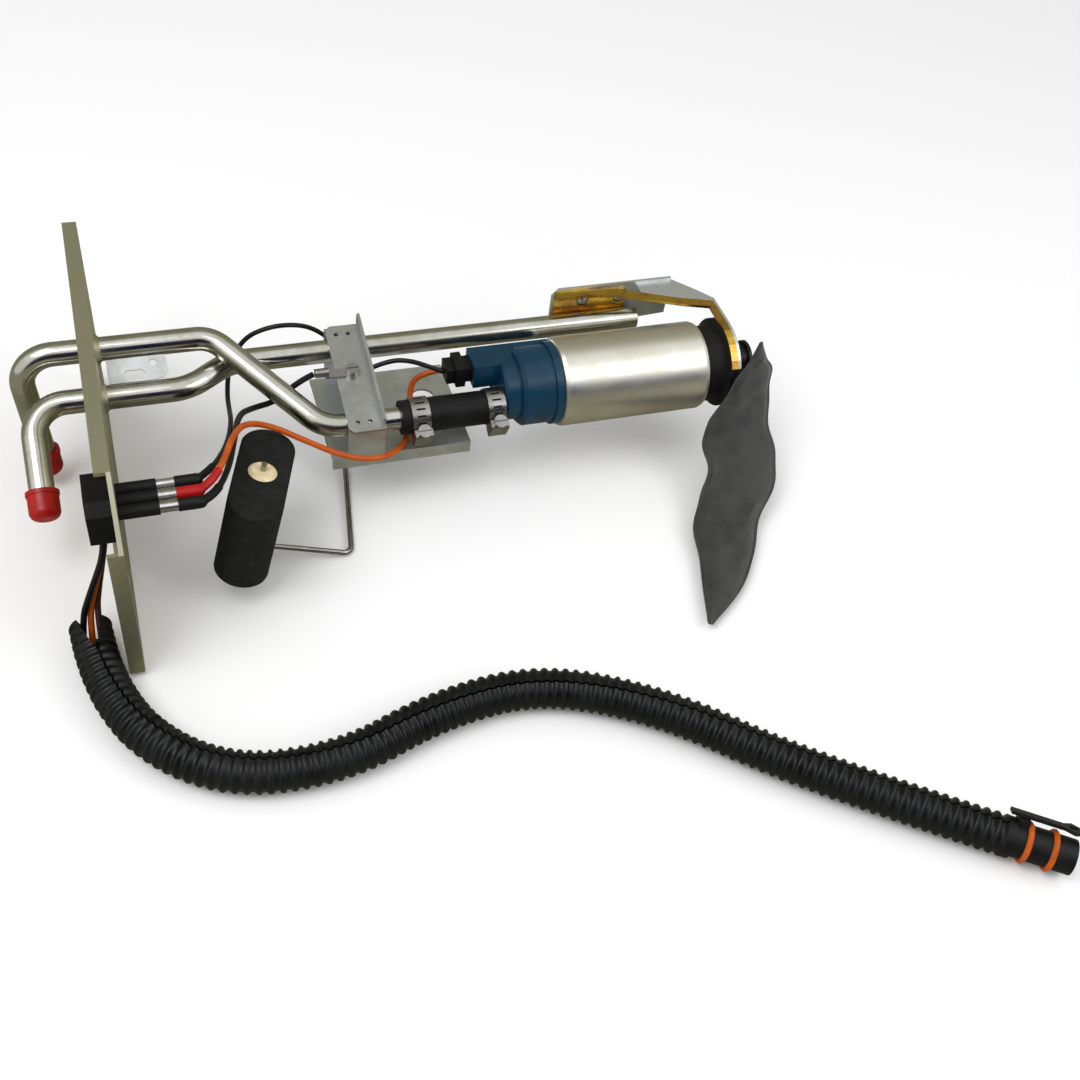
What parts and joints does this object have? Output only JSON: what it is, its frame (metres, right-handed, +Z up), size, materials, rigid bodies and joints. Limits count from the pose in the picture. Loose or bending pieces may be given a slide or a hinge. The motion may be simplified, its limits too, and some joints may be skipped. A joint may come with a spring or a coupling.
{
  "type": "electric fuel pump",
  "caption": "Electric in-tank fuel pump on a flanged hanger, with feed and return tubes, level sender with float, strainer sock and loomed wiring harness.",
  "frame": {"origin": "centre of the flange on its inboard seat face", "axes": "+X inboard along the hanger towards the pump, +Y across the flange, +Z up; it stands on the flange edge on a table"},
  "size_m": [0.3421, 0.3318, 0.086],
  "materials": {
    "zinc_plate": "bright zinc plated sheet",
    "zinc_tube": "bright zinc plated tube",
    "yellow_zinc": "yellow passivated zinc",
    "can_steel": "satin drawn steel",
    "blue_plastic": "moulded",
    "black_plastic": "moulded",
    "red_plastic": "dipped vinyl",
    "black_rubber": "moulded",
    "foam": "closed cell foam skin",
    "ivory_plastic": "moulded",
    "orange_seal": "silicone",
    "orange_insulation": "extruded",
    "brown_insulation": "extruded",
    "black_insulation": "extruded",
    "carbon": "pressed carbon",
    "ferrite": "sintered",
    "lamination": "stacked sheet",
    "copper": "turned",
    "bronze": "sintered",
    "brass": "tin plated pins",
    "ceramic": "printed card",
    "nylon_mesh": "woven monofilament",
    "spring_steel": "drawn wire",
    "natural_plastic": "moulded"
  },
  "bodies": {
    "hanger": {"flange_plate": "zinc_plate", "feed_tube": "zinc_tube", "return_tube": "zinc_tube", "feed_tube_cap": "red_plastic", "return_tube_cap": "red_plastic", "braze_rings": "brass", "hanger_strap": "zinc_plate", "terminal_block": "black_plastic", "feedthrough_pins": "brass", "terminal_sleeves": "black_plastic", "terminal_crimps": "red_plastic", "mid_bracket": "zinc_plate", "ground_clip": "spring_steel", "ground_screw": "spring_steel", "sender_bracket": "zinc_plate", "sender_housing": "natural_plastic", "resistor_card": "ceramic", "pump_hose": "black_rubber", "hose_clamp_front": "spring_steel", "hose_clamp_rear": "spring_steel", "hose_clamp_screws": "spring_steel", "pump_can": "can_steel", "pump_outlet_cap": "blue_plastic", "pump_connector_plug": "black_plastic", "check_valve_spring": "spring_steel", "relief_valve_spring": "spring_steel", "pump_bearings": "bronze", "pump_magnets": "ferrite", "pump_brushes": "carbon", "brush_springs": "spring_steel", "pump_chamber_plate": "natural_plastic", "pump_inlet_head": "black_plastic", "pump_saddle": "yellow_zinc", "hanger_plate": "zinc_plate", "saddle_rivets": "spring_steel", "pump_isolator": "black_rubber", "strainer_fitting": "black_plastic", "strainer_sock": "nylon_mesh", "loom_tube": "black_plastic", "plug_body": "black_plastic", "plug_seals": "orange_seal", "plug_contacts": "brass", "orange_wire": "orange_insulation", "black_wire": "black_insulation", "sender_wire": "black_insulation", "pump_ground_wire": "black_insulation", "harness_wire_black": "black_insulation", "harness_wire_orange": "orange_insulation", "harness_wire_brown": "brown_insulation"},
    "arm": {"float_arm": "spring_steel", "sender_hub": "black_plastic", "float_retainer": "ivory_plastic"},
    "float_block": {"float": "foam"},
    "rotor": {"pump_shaft": "spring_steel", "pump_armature": "lamination", "pump_commutator": "copper", "pump_impeller": "black_plastic"},
    "check_ball": {"check_valve_ball": "spring_steel"},
    "relief_ball": {"relief_valve_ball": "spring_steel"},
    "latch": {"plug_latch": "black_plastic"}
  },
  "joints": [
    {"name": "arm_swing", "type": "hinge", "parent": "hanger", "child": "arm", "pos_m": [0.094, 0.009, 0], "axis": [0, 0, 1], "range_deg": [0, 75]},
    {"name": "float_turn", "type": "hinge", "parent": "arm", "child": "float_block", "pos_m": [0.045, -0.036, -0.03268], "axis": [0.2079, 0, 0.9781], "continuous": true},
    {"name": "rotor_spin", "type": "hinge", "parent": "hanger", "child": "rotor", "pos_m": [0.2, 0, 0], "axis": [1, 0, 0], "continuous": true},
    {"name": "check_valve_lift", "type": "slide", "parent": "hanger", "child": "check_ball", "axis": [-1, 0, 0], "range_m": [0, 0.0012], "stiffness_N_per_m": 120, "deforming": ["check_valve_spring"]},
    {"name": "relief_valve_lift", "type": "slide", "parent": "hanger", "child": "relief_ball", "axis": [-1, 0, 0], "range_m": [0, 0.0012], "stiffness_N_per_m": 300, "deforming": ["relief_valve_spring"]},
    {"name": "latch_press", "type": "hinge", "parent": "hanger", "child": "latch", "pos_m": [0.28831, -0.226, -0.02766], "axis": [0.4728, 0.6689, -0.5736], "range_deg": [0, 4], "stiffness_Nm_per_rad": 0.05}
  ]
}
